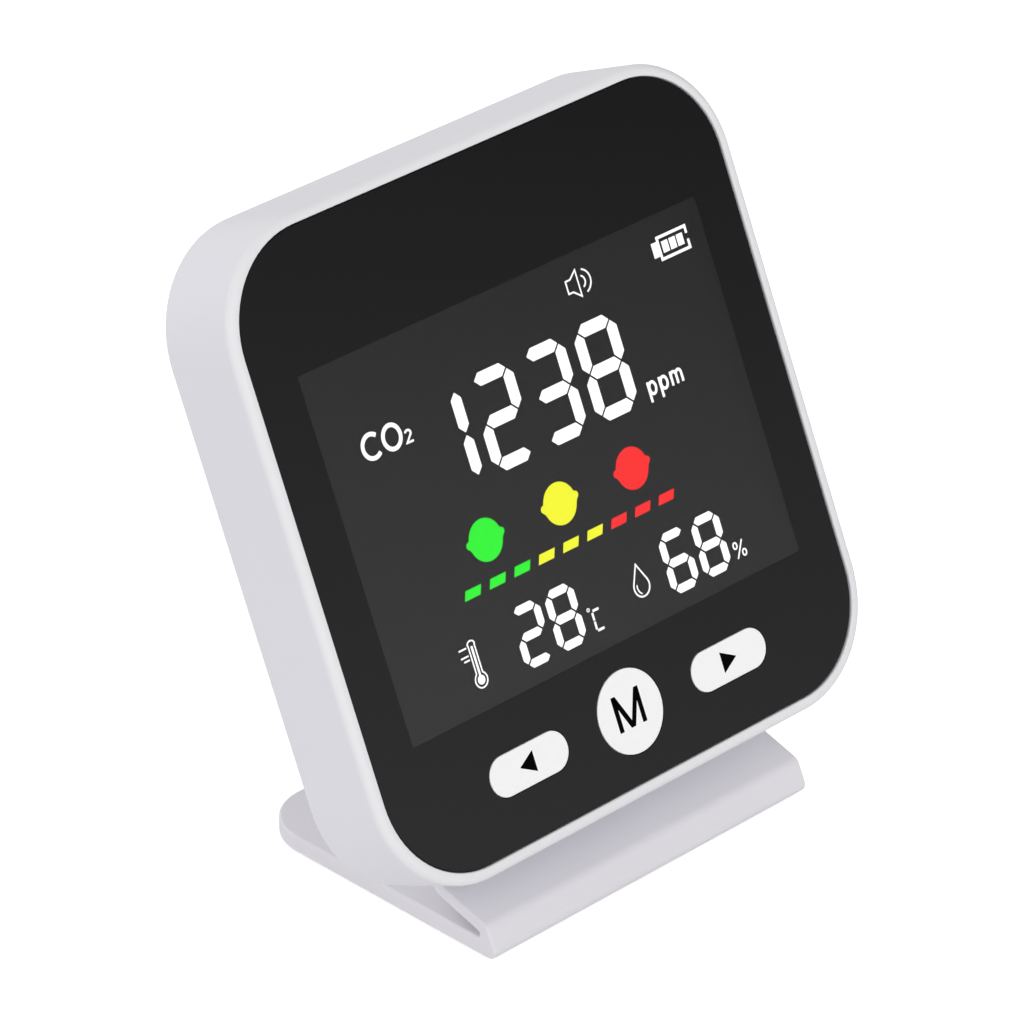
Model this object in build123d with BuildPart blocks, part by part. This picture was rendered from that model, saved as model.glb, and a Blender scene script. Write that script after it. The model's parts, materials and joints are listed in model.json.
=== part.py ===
"""Carbon dioxide monitor: a square, flat instrument that leans back on a bent stand.

Millimetres. X runs to the right across the display, Y to the back, Z up. The origin is the
middle of the anti-slip pad under the stand's foot. The instrument's pieces are laid out in
its own leaning frame: u across, v up the display, d the depth behind the front rim.
"""

from build123d import *
import os
from math import cos, radians, sin, tan

# ---- driving dimensions -------------------------------------------------------------------
# body
BODY_W = 80.0
BODY_H = 80.6
BODY_D = 12.0
BODY_CORNER_R = 13.6
WALL = 1.6
FRONT_EDGE_R = 1.0
RIM_INNER_R = 0.2
BACK_EDGE_R = 0.4
TILT = 24.0

# stand
FOOT_W = 52.8
FOOT_DEPTH = 40.2
FOOT_T = 2.2
FOOT_CORNER_R = 7.2
NOSE_CORNER_R = 0.5
STAND_EDGE_R = 0.3
PLATE_T = 1.55
NOSE_H = 4.2
NOSE_LEAN = 1.95
NOSE_BEND_R = 1.5
NOSE_TOE_R = 1.1
PAD_PROUD = 0.3
PAD_T = 0.6

# where the middle of the body's front face stands
FACE_Y = -FOOT_DEPTH / 2 + 15.49
FACE_Z = PAD_PROUD + 48.59

# depths behind the front rim
PANEL_D = 0.25
PANEL_T = 1.0
TAPE_T = 0.15
SEAT_D = PANEL_D + PANEL_T + TAPE_T
WEB_BACK_D = 2.5
FRONT_GLASS_D = 1.45
REAR_GLASS_D = 2.55
GLASS_T = 1.1
GUIDE_D = REAR_GLASS_D + GLASS_T
GUIDE_T = 1.8
TRAY_BACK_D = 5.95
BOARD_D = 6.4
BOARD_T = 1.0
BOARD_BACK_D = BOARD_D + BOARD_T
COVER_T = 1.5
COVER_D = BODY_D - COVER_T
SENSOR_BOARD_D = 2.7
SENSOR_BOARD_T = 0.8
SENSOR_D = SENSOR_BOARD_D + SENSOR_BOARD_T
SENSOR_H = 6.5

# front panel and display
PANEL_W = 76.8
PANEL_H = 77.4
PANEL_CORNER_R = 12.0
PANEL_GAP = 0.1
PANEL_BEVEL = 0.12
GLASS_W = 68.0
GLASS_LOW = -23.9
GLASS_TOP = 23.9
LEDGE_TOP = 25.9
APERTURE_W = 68.6
APERTURE_LOW = -24.2
APERTURE_TOP = 27.6
TRAY_W = 71.8
TRAY_LOW = -24.9
TRAY_TOP = 26.7
TRAY_WALL = 0.65

# keys
KEY_V = -30.2
KEY_OFFSET = 16.67
KEY_TRAVEL = 0.4
KEY_GAP = 0.12
KEY_FACE_D = PANEL_D - 0.05
MODE_R = 5.1
SIDE_KEY_W = 12.45
SIDE_KEY_H = 4.95
SWITCH_W = 5.0
SWITCH_H = 2.0
PLUNGER_R = 1.55
PLUNGER_OUT = 0.6
SWITCH_D = BOARD_D - SWITCH_H
PLUNGER_D = SWITCH_D - PLUNGER_OUT
KEYS = {"left": -KEY_OFFSET, "mode": 0.0, "right": KEY_OFFSET}

# screws through the back
SCREW_PITCH = 61.0
BOSS_R = 2.6
SCREW_R = 0.95
SCREW_HEAD_R = 1.9
SCREW_HEAD_H = 1.1
SCREW_SEAT_D = BODY_D - 1.3
SCREW_TIP_D = 3.6

# the stand's tongue and its channel
TONGUE_D = 10.4
TONGUE_TOP = -7.7
TONGUE_LOW = -40.6
DOVETAIL = 30.0
CHANNEL_GAP = 0.12
INNER_BEND_V = -41.54

# sensor bay and vents, both near the top
SENSOR_U = -15.0
SENSOR_W = 10.1
SENSOR_BOARD_W = 24.0
SENSOR_BOARD_LOW = 27.1
SENSOR_BOARD_TOP = 37.9
SENSOR_V = (SENSOR_BOARD_LOW + SENSOR_BOARD_TOP) / 2
VENT_V = 31.8
VENT_COUNT = 17
VENT_PITCH = 2.75

# power inlet on the right flank
USB_V = 8.0
USB_D = 8.2
USB_W = 8.94
USB_H = 3.16
USB_LENGTH = 7.35
USB_MOUTH_U = BODY_W / 2 - 1.05

os.makedirs("parts", exist_ok=True)


# ---- the leaning frame ----------------------------------------------------------------------
UP = Vector(0, sin(radians(TILT)), cos(radians(TILT)))
OUT = Vector(0, -cos(radians(TILT)), sin(radians(TILT)))
FACE = Plane(origin=(0, FACE_Y, FACE_Z), x_dir=(1, 0, 0), z_dir=OUT)
OUTWARD = Axis(FACE.origin, OUT)
UPWARD = Axis(FACE.origin, UP)
BACK = Plane(origin=FACE.offset(-BODY_D).origin, x_dir=(1, 0, 0), z_dir=-OUT)


def depth(d):
    """Plane parallel to the front, d behind the rim; a negative extrusion goes deeper."""
    return FACE.offset(-d)


def across(v):
    """Plane square to the body's height; its local axes are u and d."""
    return Plane(origin=FACE.from_local_coords((0, v, 0)), x_dir=(1, 0, 0), z_dir=UP)


def flank(u):
    """Plane square to the body's width; its local axes are v and -d."""
    return Plane(origin=FACE.from_local_coords((u, 0, 0)), x_dir=UP, z_dir=(1, 0, 0))


def side_view(v, d):
    """(Y, Z) of a point on the body's middle plane."""
    point = FACE.from_local_coords((0, v, -d))
    return point.Y, point.Z


def save(piece, name):
    """Label a finished piece and write it as its own node."""
    piece.part.label = name
    export_step(piece.part, f"parts/{name}.step")


def dovetail(gap, deepest):
    """Corners (u, d) of the tongue's section, grown by gap and drawn out to a depth."""
    start = TONGUE_D - gap
    lean = tan(radians(DOVETAIL))
    wide = FOOT_W / 2 + gap
    narrow = wide - (deepest - start) * lean
    return [(-wide, start), (wide, start), (narrow, deepest), (-narrow, deepest)]


def key_outline(name, gap):
    """Outline of a key, drawn at the sketch's current location."""
    if name == "mode":
        Circle(MODE_R + gap)
    else:
        SlotOverall(SIDE_KEY_W + 2 * gap, SIDE_KEY_H + 2 * gap)


def all_key_outlines(gap):
    """The three key outlines in their places."""
    for name, u in KEYS.items():
        with Locations((u, KEY_V)):
            key_outline(name, gap)


def block(u0, u1, v0, v1):
    """Rectangle between two widths and two heights, in a sketch on a depth plane."""
    with Locations(((u0 + u1) / 2, (v0 + v1) / 2)):
        Rectangle(u1 - u0, v1 - v0)


# ---- front housing ----------------------------------------------------------------------------
INNER_W = BODY_W - 2 * WALL
INNER_H = BODY_H - 2 * WALL
INNER_CORNER_R = BODY_CORNER_R - WALL

with BuildPart() as front_housing:
    with BuildSketch(depth(0)):
        RectangleRounded(BODY_W, BODY_H, BODY_CORNER_R)
    extrude(amount=-BODY_D)
    fillet(front_housing.faces().sort_by(OUTWARD)[-1].edges(), FRONT_EDGE_R)
    fillet(front_housing.faces().sort_by(OUTWARD)[0].edges(), BACK_EDGE_R)
    # seat of the front panel
    with BuildSketch(depth(0)):
        RectangleRounded(PANEL_W + 2 * PANEL_GAP, PANEL_H + 2 * PANEL_GAP, PANEL_CORNER_R + PANEL_GAP)
    extrude(amount=-SEAT_D, mode=Mode.SUBTRACT)
    fillet(front_housing.faces().sort_by(OUTWARD)[-1].inner_wires()[0].edges(), RIM_INNER_R)
    # hollow behind the web
    with BuildSketch(depth(WEB_BACK_D)):
        RectangleRounded(INNER_W, INNER_H, INNER_CORNER_R)
    extrude(amount=WEB_BACK_D - BODY_D, mode=Mode.SUBTRACT)
    # display aperture and key holes through the web
    with BuildSketch(depth(SEAT_D)):
        block(-APERTURE_W / 2, APERTURE_W / 2, APERTURE_LOW, APERTURE_TOP)
        all_key_outlines(KEY_GAP + 0.05)
    extrude(amount=SEAT_D - WEB_BACK_D, mode=Mode.SUBTRACT)
    # screw bosses that the main board rests on
    with BuildSketch(depth(WEB_BACK_D)):
        with GridLocations(SCREW_PITCH, SCREW_PITCH, 2, 2):
            Circle(BOSS_R)
    extrude(amount=WEB_BACK_D - BOARD_D)
    with BuildSketch(depth(SCREW_TIP_D - 0.4)):
        with GridLocations(SCREW_PITCH, SCREW_PITCH, 2, 2):
            Circle(SCREW_R + 0.05)
    extrude(amount=SCREW_TIP_D - 0.4 - BOARD_D, mode=Mode.SUBTRACT)
    # mouth of the power inlet
    with BuildSketch(flank(INNER_W / 2 - 1)):
        with Locations((USB_V, -USB_D)):
            SlotOverall(USB_W + 0.8, USB_H + 0.8)
    extrude(amount=WALL + 2, mode=Mode.SUBTRACT)
    # notch for the stand's tongue in the bottom wall
    with BuildSketch(across(-BODY_H / 2 - 1)):
        Polygon(*dovetail(CHANNEL_GAP, BODY_D + 0.5), align=None)
    extrude(amount=4, mode=Mode.SUBTRACT)
save(front_housing, "front_housing")


# ---- rear cover ---------------------------------------------------------------------------------
COVER_W = INNER_W - 0.2
COVER_H = INNER_H - 0.2
CHANNEL_WALL = 1.2
CHANNEL_TOP = TONGUE_TOP + 0.1
CHANNEL_BLOCK_U = FOOT_W / 2 + 1.65
CHANNEL_BLOCK_D = TONGUE_D - CHANNEL_GAP - CHANNEL_WALL

with BuildPart() as rear_cover:
    with BuildSketch(depth(COVER_D)):
        RectangleRounded(COVER_W, COVER_H, INNER_CORNER_R - 0.1)
    extrude(amount=-COVER_T)
    # thicker field around the stand's channel, and posts that clamp the main board
    with BuildSketch(depth(CHANNEL_BLOCK_D)):
        block(-CHANNEL_BLOCK_U, CHANNEL_BLOCK_U, -COVER_H / 2 + 0.3, CHANNEL_TOP + CHANNEL_WALL)
    extrude(amount=CHANNEL_BLOCK_D - BODY_D)
    with BuildSketch(depth(BOARD_BACK_D + 0.05)):
        with GridLocations(SCREW_PITCH, SCREW_PITCH, 2, 2):
            Circle(BOSS_R - 0.2)
    extrude(amount=BOARD_BACK_D - COVER_D)
    # dovetail channel, open at the bottom
    with BuildSketch(across(-BODY_H / 2)):
        Polygon(*dovetail(CHANNEL_GAP, BODY_D + 0.5), align=None)
    extrude(amount=BODY_H / 2 + CHANNEL_TOP, mode=Mode.SUBTRACT)
    # vents
    with BuildSketch(depth(COVER_D)):
        with Locations((0, VENT_V)):
            with GridLocations(VENT_PITCH, 1, VENT_COUNT, 1):
                SlotOverall(8.0, 1.3, rotation=90)
    extrude(amount=-COVER_T, mode=Mode.SUBTRACT)
    # screw wells
    with Locations(BACK):
        with GridLocations(SCREW_PITCH, SCREW_PITCH, 2, 2):
            CounterBoreHole(
                radius=SCREW_R + 0.2,
                counter_bore_radius=SCREW_HEAD_R + 0.2,
                counter_bore_depth=BODY_D - SCREW_SEAT_D,
                depth=BODY_D - BOARD_BACK_D,
            )
save(rear_cover, "rear_cover")

with BuildPart() as cover_screws:
    with BuildSketch(depth(SCREW_TIP_D)):
        with GridLocations(SCREW_PITCH, SCREW_PITCH, 2, 2):
            Circle(SCREW_R)
    extrude(amount=SCREW_TIP_D - SCREW_SEAT_D)
    with BuildSketch(depth(SCREW_SEAT_D)):
        with GridLocations(SCREW_PITCH, SCREW_PITCH, 2, 2):
            Circle(SCREW_HEAD_R)
    extrude(amount=-SCREW_HEAD_H)
    fillet(cover_screws.faces().group_by(OUTWARD)[0].edges(), 0.4)
    # cross recess
    with BuildSketch(depth(SCREW_SEAT_D + SCREW_HEAD_H)):
        with GridLocations(SCREW_PITCH, SCREW_PITCH, 2, 2):
            Rectangle(2.0, 0.45)
            Rectangle(0.45, 2.0)
    extrude(amount=0.7, mode=Mode.SUBTRACT)
save(cover_screws, "cover_screws")

with BuildPart() as dust_filter:
    with BuildSketch(depth(COVER_D - 0.2)):
        with Locations((0, VENT_V)):
            RectangleRounded(VENT_PITCH * VENT_COUNT + 1.5, 10.0, 1.0)
    extrude(amount=-0.2)
save(dust_filter, "dust_filter")


# ---- front panel and its tape -------------------------------------------------------------------
with BuildPart() as display_panel:
    with BuildSketch(depth(PANEL_D)):
        RectangleRounded(PANEL_W, PANEL_H, PANEL_CORNER_R)
        with BuildSketch(mode=Mode.SUBTRACT):
            all_key_outlines(KEY_GAP)
    extrude(amount=-PANEL_T)
    chamfer(display_panel.faces().sort_by(OUTWARD)[-1].outer_wire().edges(), PANEL_BEVEL)
save(display_panel, "display_panel")

with BuildPart() as panel_tape:
    with BuildSketch(depth(SEAT_D - TAPE_T)):
        RectangleRounded(PANEL_W - 0.6, PANEL_H - 0.6, PANEL_CORNER_R - 0.3)
        with BuildSketch(mode=Mode.SUBTRACT):
            block(-APERTURE_W / 2, APERTURE_W / 2, APERTURE_LOW, APERTURE_TOP)
            all_key_outlines(0.5)
    extrude(amount=-TAPE_T)
save(panel_tape, "panel_tape")


# ---- keys and their switches ----------------------------------------------------------------------
FLANGE_T = 0.8
FLANGE_D = WEB_BACK_D + 0.05


def key_cap(name, u):
    """Cap that stands through the panel, with a flange that the web holds back."""
    with BuildPart() as cap:
        with BuildSketch(depth(KEY_FACE_D)):
            with Locations((u, KEY_V)):
                key_outline(name, 0)
        extrude(amount=KEY_FACE_D - FLANGE_D)
        fillet(cap.faces().sort_by(OUTWARD)[-1].edges(), 0.12)
        with BuildSketch(depth(FLANGE_D)):
            with Locations((u, KEY_V)):
                if name == "mode":
                    Rectangle(2 * MODE_R + 2.2, 2 * MODE_R - 1.2)
                else:
                    Rectangle(SIDE_KEY_W + 1.6, SIDE_KEY_H)
        extrude(amount=-FLANGE_T)
        with BuildSketch(depth(FLANGE_D + FLANGE_T)):
            with Locations((u, KEY_V)):
                Circle(PLUNGER_R - 0.1)
        extrude(amount=FLANGE_D + FLANGE_T - PLUNGER_D)
    return cap


def switch_plunger(u):
    """Round plunger of a tactile switch."""
    with BuildPart() as plunger:
        with BuildSketch(depth(PLUNGER_D)):
            with Locations((u, KEY_V)):
                Circle(PLUNGER_R)
        extrude(amount=-PLUNGER_OUT - 0.6)
    return plunger


def switch_body(u):
    """Square body of a tactile switch on the main board, with the plunger's well."""
    with BuildPart() as body:
        with BuildSketch(depth(SWITCH_D)):
            with Locations((u, KEY_V)):
                RectangleRounded(SWITCH_W, SWITCH_W, 0.5)
        extrude(amount=-SWITCH_H)
        with BuildSketch(depth(SWITCH_D)):
            with Locations((u, KEY_V)):
                Circle(PLUNGER_R + 0.1)
        extrude(amount=-0.6 - KEY_TRAVEL - 0.2, mode=Mode.SUBTRACT)
    return body


for key_name, key_u in KEYS.items():
    save(key_cap(key_name, key_u), f"{key_name}_key")
    save(switch_plunger(key_u), f"{key_name}_plunger")
    save(switch_body(key_u), f"{key_name}_switch")


# ---- display stack ----------------------------------------------------------------------------------
with BuildPart() as lcd_front_glass:
    with BuildSketch(depth(FRONT_GLASS_D)):
        block(-GLASS_W / 2, GLASS_W / 2, GLASS_LOW, GLASS_TOP)
    extrude(amount=-GLASS_T)
save(lcd_front_glass, "lcd_front_glass")

with BuildPart() as lcd_rear_glass:
    with BuildSketch(depth(REAR_GLASS_D)):
        block(-GLASS_W / 2, GLASS_W / 2, GLASS_LOW, LEDGE_TOP)
    extrude(amount=-GLASS_T)
save(lcd_rear_glass, "lcd_rear_glass")

DRIVER_T = 0.5
with BuildPart() as lcd_driver:
    with BuildSketch(depth(REAR_GLASS_D - DRIVER_T)):
        block(-24.0, -8.0, GLASS_TOP + 0.4, LEDGE_TOP - 0.3)
    extrude(amount=-DRIVER_T)
save(lcd_driver, "lcd_driver")

TRAY_IN_W = TRAY_W - 2 * TRAY_WALL
TRAY_IN_LOW = TRAY_LOW + TRAY_WALL
TRAY_IN_TOP = TRAY_TOP - TRAY_WALL
with BuildPart() as lcd_tray:
    with BuildSketch(depth(REAR_GLASS_D + 0.1)):
        block(-TRAY_W / 2, TRAY_W / 2, TRAY_LOW, TRAY_TOP)
    extrude(amount=REAR_GLASS_D + 0.1 - TRAY_BACK_D)
    with BuildSketch(depth(REAR_GLASS_D)):
        block(-TRAY_IN_W / 2, TRAY_IN_W / 2, TRAY_IN_LOW, TRAY_IN_TOP)
    extrude(amount=REAR_GLASS_D - GUIDE_D - GUIDE_T, mode=Mode.SUBTRACT)
    # feet that rest on the main board
    with BuildSketch(depth(TRAY_BACK_D)):
        with GridLocations(TRAY_W - 6, TRAY_TOP - TRAY_LOW - 6, 2, 2):
            Circle(1.5)
    extrude(amount=TRAY_BACK_D - BOARD_D)
save(lcd_tray, "lcd_tray")

LED_GAP = 1.6
with BuildPart() as light_guide:
    with BuildSketch(depth(GUIDE_D)):
        block(-TRAY_IN_W / 2 + 0.2, TRAY_IN_W / 2 - 0.2 - LED_GAP, TRAY_IN_LOW + 0.2, TRAY_IN_TOP - 0.2)
    extrude(amount=-GUIDE_T)
save(light_guide, "light_guide")

STRIP_U = TRAY_IN_W / 2 - 0.5
with BuildPart() as led_strip:
    with BuildSketch(depth(GUIDE_D)):
        block(STRIP_U, STRIP_U + 0.3, -22.0, 22.0)
    extrude(amount=-GUIDE_T)
save(led_strip, "led_strip")

with BuildPart() as backlight_leds:
    with BuildSketch(depth(GUIDE_D + 0.3)):
        with Locations((STRIP_U - 0.5, 0)):
            with GridLocations(1, 12, 1, 4):
                Rectangle(1.0, 2.8)
    extrude(amount=-1.2)
save(backlight_leds, "backlight_leds")

# the flexible lead leaves the ledge, turns down past the tray and lies in its socket
FLEX_T = 0.12
FLEX_U = 11.0
FLEX_W = 12.0
FLEX_START = GLASS_TOP + 0.6
FLEX_ROUTE = [
    (FLEX_START, -(REAR_GLASS_D - FLEX_T)),
    (27.25, -(REAR_GLASS_D - FLEX_T)),
    (27.25, -(BOARD_D - 0.8)),
    (30.0, -(BOARD_D - 0.8)),
]
with BuildPart() as lcd_flex:
    with BuildSketch(flank(FLEX_U - FLEX_W / 2)):
        with BuildLine() as flex_route:
            FilletPolyline(*FLEX_ROUTE, radius=[0.8, 0.8])
            offset(flex_route.line, FLEX_T, side=Side.RIGHT)
        make_face()
    extrude(amount=FLEX_W)
save(lcd_flex, "lcd_flex")

CONNECTOR_H = 1.5
with BuildPart() as lcd_connector:
    with BuildSketch(depth(BOARD_D - CONNECTOR_H)):
        block(FLEX_U - FLEX_W / 2 - 1.2, FLEX_U + FLEX_W / 2 + 1.2, 28.6, 32.2)
    extrude(amount=-CONNECTOR_H)
    with BuildSketch(depth(BOARD_D - 0.8 - 0.1)):
        block(FLEX_U - FLEX_W / 2 - 0.2, FLEX_U + FLEX_W / 2 + 0.2, 28.0, 30.2)
    extrude(amount=-0.4, mode=Mode.SUBTRACT)
save(lcd_connector, "lcd_connector")


# ---- main board and what it carries -----------------------------------------------------------------
BOARD_W = INNER_W - 0.8
BOARD_H = INNER_H - 0.8
BOARD_EDGE = BOARD_W / 2
with BuildPart() as main_board:
    with BuildSketch(depth(BOARD_D)):
        RectangleRounded(BOARD_W, BOARD_H, INNER_CORNER_R - 0.4)
        with GridLocations(SCREW_PITCH, SCREW_PITCH, 2, 2):
            Circle(SCREW_R + 0.2, mode=Mode.SUBTRACT)
        with BuildSketch(mode=Mode.SUBTRACT):
            # bays for the gas sensor and the power inlet
            block(SENSOR_U - 5.5, SENSOR_U + 5.5, SENSOR_BOARD_LOW, BOARD_EDGE + 1)
            block(USB_MOUTH_U - USB_LENGTH - 0.2, BOARD_EDGE + 1, USB_V - 4.7, USB_V + 4.7)
    extrude(amount=-BOARD_T)
save(main_board, "main_board")

with BuildPart() as microcontroller:
    with BuildSketch(depth(BOARD_BACK_D)):
        with Locations((0, -18.0)):
            Rectangle(7.0, 7.0)
    extrude(amount=-1.0)
    chamfer(microcontroller.faces().sort_by(OUTWARD)[0].edges(), 0.15)
save(microcontroller, "microcontroller")

with BuildPart() as power_chip:
    with BuildSketch(depth(BOARD_BACK_D)):
        with Locations((26.0, USB_V)):
            Rectangle(3.0, 3.0)
    extrude(amount=-0.8)
save(power_chip, "power_chip")

with BuildPart() as board_chips:
    with BuildSketch(depth(BOARD_BACK_D)):
        with Locations((0, -18.0)):
            with GridLocations(14.0, 3.0, 2, 4):
                Rectangle(1.6, 0.8)
        with Locations((20.5, USB_V)):
            with GridLocations(3.0, 2.4, 2, 3):
                Rectangle(1.6, 0.8)
    extrude(amount=-0.5)
save(board_chips, "board_chips")

with BuildPart() as buzzer:
    with BuildSketch(depth(BOARD_BACK_D)):
        with Locations((22.0, 20.5)):
            RectangleRounded(9.0, 9.0, 0.8)
    extrude(amount=-1.9)
    with BuildSketch(depth(BOARD_BACK_D + 1.9)):
        with Locations((22.0, 20.5)):
            Circle(0.9)
    extrude(amount=0.9, mode=Mode.SUBTRACT)
save(buzzer, "buzzer")

# the flat cell lies on an adhesive pad above the stand's channel
CELL_PAD_T = 0.3
CELL_D = BOARD_BACK_D + CELL_PAD_T
CELL_T = 2.5
with BuildPart() as battery_pad:
    with BuildSketch(depth(BOARD_BACK_D)):
        block(-20.0, 10.0, -3.0, 21.0)
    extrude(amount=-CELL_PAD_T)
save(battery_pad, "battery_pad")

with BuildPart() as battery:
    with BuildSketch(depth(CELL_D)):
        block(-22.0, 12.0, -4.5, 22.5)
    extrude(amount=-CELL_T)
    fillet(battery.edges().filter_by(OUTWARD), 1.5)
    fillet(battery.faces().sort_by(OUTWARD)[0].edges(), 0.5)
save(battery, "battery")

TAB_T = 0.15
with BuildPart() as battery_tabs:
    for tab_v in (13.0, 17.0):
        with BuildSketch(across(tab_v)):
            with BuildLine() as tab_route:
                Polyline((12.0, CELL_D + 1.0), (13.6, CELL_D + 1.0), (13.6, BOARD_BACK_D + TAB_T),
                         (15.4, BOARD_BACK_D + TAB_T))
                offset(tab_route.line, TAB_T, side=Side.RIGHT)
            make_face()
        extrude(amount=2.0)
save(battery_tabs, "battery_tabs")


# ---- power inlet ------------------------------------------------------------------------------------
USB_WALL = 0.3
USB_BACK_U = USB_MOUTH_U - USB_LENGTH
with BuildPart() as usb_shell:
    with BuildSketch(flank(USB_BACK_U)):
        with Locations((USB_V, -USB_D)):
            SlotOverall(USB_W, USB_H)
            SlotOverall(USB_W - 2 * USB_WALL, USB_H - 2 * USB_WALL, mode=Mode.SUBTRACT)
    extrude(amount=USB_LENGTH)
save(usb_shell, "usb_shell")

with BuildPart() as usb_insert:
    with BuildSketch(flank(USB_BACK_U)):
        with Locations((USB_V, -USB_D)):
            SlotOverall(USB_W - 2 * USB_WALL - 0.04, USB_H - 2 * USB_WALL - 0.04)
    extrude(amount=1.8)
    with BuildSketch(flank(USB_BACK_U + 1.8)):
        with Locations((USB_V, -USB_D)):
            Rectangle(6.7, 0.7)
    extrude(amount=4.6)
save(usb_insert, "usb_insert")


# ---- sensors, on a carrier board of their own -------------------------------------------------------
with BuildPart() as sensor_board:
    with BuildSketch(depth(SENSOR_BOARD_D)):
        block(SENSOR_U - SENSOR_BOARD_W / 2, SENSOR_U + SENSOR_BOARD_W / 2, SENSOR_BOARD_LOW, SENSOR_BOARD_TOP)
        with GridLocations(SCREW_PITCH, SCREW_PITCH, 2, 2):
            Circle(BOSS_R + 0.3, mode=Mode.SUBTRACT)
    extrude(amount=-SENSOR_BOARD_T)
save(sensor_board, "sensor_board")

with BuildPart() as co2_sensor:
    with BuildSketch(depth(SENSOR_D)):
        with Locations((SENSOR_U, SENSOR_V)):
            Rectangle(SENSOR_W, SENSOR_W)
    extrude(amount=-SENSOR_H)
    fillet(co2_sensor.edges().filter_by(OUTWARD), 0.8)
    fillet(co2_sensor.faces().sort_by(OUTWARD)[0].edges(), 0.4)
    # sunk ring for the membrane, over the gas port
    with BuildSketch(depth(SENSOR_D + SENSOR_H)):
        with Locations((SENSOR_U, SENSOR_V)):
            Circle(3.2)
    extrude(amount=0.15, mode=Mode.SUBTRACT)
    with BuildSketch(depth(SENSOR_D + SENSOR_H)):
        with Locations((SENSOR_U, SENSOR_V)):
            Circle(1.2)
    extrude(amount=2.0, mode=Mode.SUBTRACT)
save(co2_sensor, "co2_sensor")

with BuildPart() as sensor_membrane:
    with BuildSketch(depth(SENSOR_D + SENSOR_H - 0.15)):
        with Locations((SENSOR_U, SENSOR_V)):
            Circle(3.1)
    extrude(amount=-0.15)
save(sensor_membrane, "sensor_membrane")

with BuildPart() as sensor_headers:
    with BuildSketch(depth(SENSOR_D)):
        block(SENSOR_U - 8.2, SENSOR_U - 6.2, 28.6, 36.4)
        block(SENSOR_U + 6.2, SENSOR_U + 8.2, 28.6, 36.4)
    extrude(amount=SENSOR_D - BOARD_D)
save(sensor_headers, "sensor_headers")

with BuildPart() as climate_sensor:
    with BuildSketch(depth(SENSOR_D)):
        with Locations((SENSOR_U + 10.2, SENSOR_V)):
            Rectangle(2.5, 2.5)
            Circle(0.5, mode=Mode.SUBTRACT)
    extrude(amount=-0.9)
save(climate_sensor, "climate_sensor")


# ---- stand ------------------------------------------------------------------------------------------
FOOT_FRONT = -FOOT_DEPTH / 2
TONGUE_BACK_D = TONGUE_D + PLATE_T
TONGUE_ANGLE = 90 - TILT
NOSE_FRONT = FOOT_FRONT - 0.9


def skin_offset(angle):
    """Step from a plate's upper skin to its lower one, for a plate rising at an angle."""
    return Vector(sin(radians(angle)), -cos(radians(angle))) * PLATE_T


nose_top = Vector(FOOT_FRONT + 0.7, PAD_PROUD + NOSE_H)
nose_foot = Vector(nose_top.X - NOSE_LEAN, PAD_PROUD)
inner_bend = Vector(*side_view(INNER_BEND_V, TONGUE_D))
rise = inner_bend - nose_top
RISE_ANGLE = rise.get_angle(Vector(1, 0))
# mitre of the plate's lower skin where the rising plate turns into the tongue
skins = skin_offset(RISE_ANGLE) + skin_offset(TONGUE_ANGLE)
outer_bend = inner_bend + skins * (2 * PLATE_T**2 / skins.dot(skins))
# the fold's slot ends close behind the nose
slot_y = FOOT_FRONT + 1.95
slot_roof = outer_bend.Y - (outer_bend.X - slot_y) * tan(radians(RISE_ANGLE))
foot_top = PAD_PROUD + FOOT_T

STAND_OUTLINE = [
    ((nose_foot.X, nose_foot.Y), NOSE_TOE_R),
    ((-FOOT_FRONT, PAD_PROUD), 0),
    ((-FOOT_FRONT, foot_top), 0),
    ((slot_y, foot_top), 0.28),
    ((slot_y, slot_roof), 0.28),
    ((outer_bend.X, outer_bend.Y), 1.6),
    (side_view(TONGUE_TOP, TONGUE_BACK_D), 0.3),
    (side_view(TONGUE_TOP, TONGUE_D), 0.5),
    ((inner_bend.X, inner_bend.Y), 0.6),
    ((nose_top.X, nose_top.Y), NOSE_BEND_R),
]

with BuildPart() as stand:
    with BuildSketch(Plane.YZ.offset(-FOOT_W / 2)):
        with BuildLine():
            FilletPolyline(
                *[corner for corner, radius in STAND_OUTLINE],
                radius=[radius for corner, radius in STAND_OUTLINE],
                close=True,
            )
        make_face()
    extrude(amount=FOOT_W)
    # plan of the foot: large corners at the back, small ones at the nose
    with BuildSketch(Plane.XY):
        with BuildLine():
            FilletPolyline(
                (-FOOT_W / 2, NOSE_FRONT),
                (FOOT_W / 2, NOSE_FRONT),
                (FOOT_W / 2, -FOOT_FRONT),
                (-FOOT_W / 2, -FOOT_FRONT),
                radius=[NOSE_CORNER_R, NOSE_CORNER_R, FOOT_CORNER_R, FOOT_CORNER_R],
                close=True,
            )
        make_face()
    extrude(amount=BODY_W, mode=Mode.INTERSECT)
    # soft edges along both sides and round the back of the foot
    foot_rims = stand.edges().filter_by_position(Axis.Y, -FOOT_FRONT - FOOT_CORNER_R, BODY_W)
    fillet(stand.faces().filter_by(Axis.X).edges() + foot_rims.filter_by(GeomType.CIRCLE), STAND_EDGE_R)
    # bevelled sides of the tongue
    for side in (-1, 1):
        with BuildSketch(across(TONGUE_LOW)):
            Polygon(
                (side * FOOT_W / 2, TONGUE_D - 0.01),
                (side * (FOOT_W / 2 - (PLATE_T + 0.3) * tan(radians(DOVETAIL))), TONGUE_BACK_D + 0.3),
                (side * (FOOT_W / 2 + 1), TONGUE_BACK_D + 0.3),
                (side * (FOOT_W / 2 + 1), TONGUE_D - 0.01),
                align=None,
            )
        extrude(amount=TONGUE_TOP - TONGUE_LOW + 1, mode=Mode.SUBTRACT)
    # bed of the anti-slip pad
    with BuildSketch(Plane.XY.offset(PAD_PROUD)):
        RectangleRounded(46.4, 33.4, 3.2)
    extrude(amount=PAD_T - PAD_PROUD, mode=Mode.SUBTRACT)
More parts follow.
